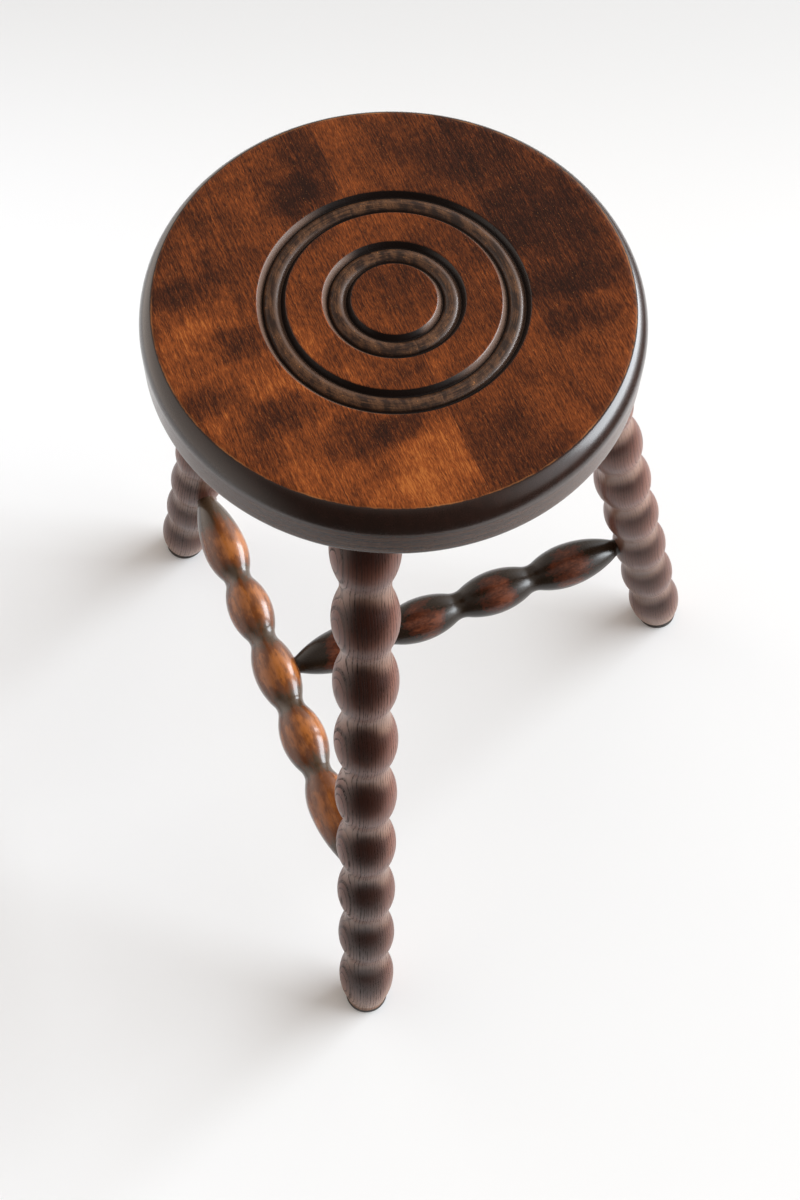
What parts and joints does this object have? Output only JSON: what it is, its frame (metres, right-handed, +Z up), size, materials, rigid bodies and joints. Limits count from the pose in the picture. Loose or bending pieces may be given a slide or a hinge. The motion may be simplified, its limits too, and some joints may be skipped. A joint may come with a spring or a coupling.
{
  "type": "bobbin-turned tripod stool",
  "caption": "Round wooden stool on splayed bobbin-turned legs with a T-shaped bobbin stretcher and ring-turned seat.",
  "frame": {"origin": "middle of the stool's own footprint box, on the floor", "axes": "+Z up, +Y towards the rear leg, +X along the front stretcher"},
  "size_m": [0.4884, 0.4344, 0.605],
  "materials": {
    "seat_wood": "chestnut stain, the turned edge and rings near black, satin lacquer",
    "leg_wood": "dark brown stain over open grain, satin lacquer",
    "stretcher_wood": "dark stain rubbed through to chestnut on the beads, gloss lacquer",
    "pad": "matt black"
  },
  "bodies": {
    "root": {"seat_board_front": "seat_wood", "seat_board_mid_front": "seat_wood", "seat_board_mid_rear": "seat_wood", "seat_board_rear": "seat_wood", "leg_front_left": "leg_wood", "leg_front_right": "leg_wood", "leg_rear": "leg_wood", "front_stretcher": "stretcher_wood", "cross_stretcher": "stretcher_wood", "foot_pad_front_left": "pad", "foot_pad_front_right": "pad", "foot_pad_rear": "pad"}
  },
  "joints": []
}
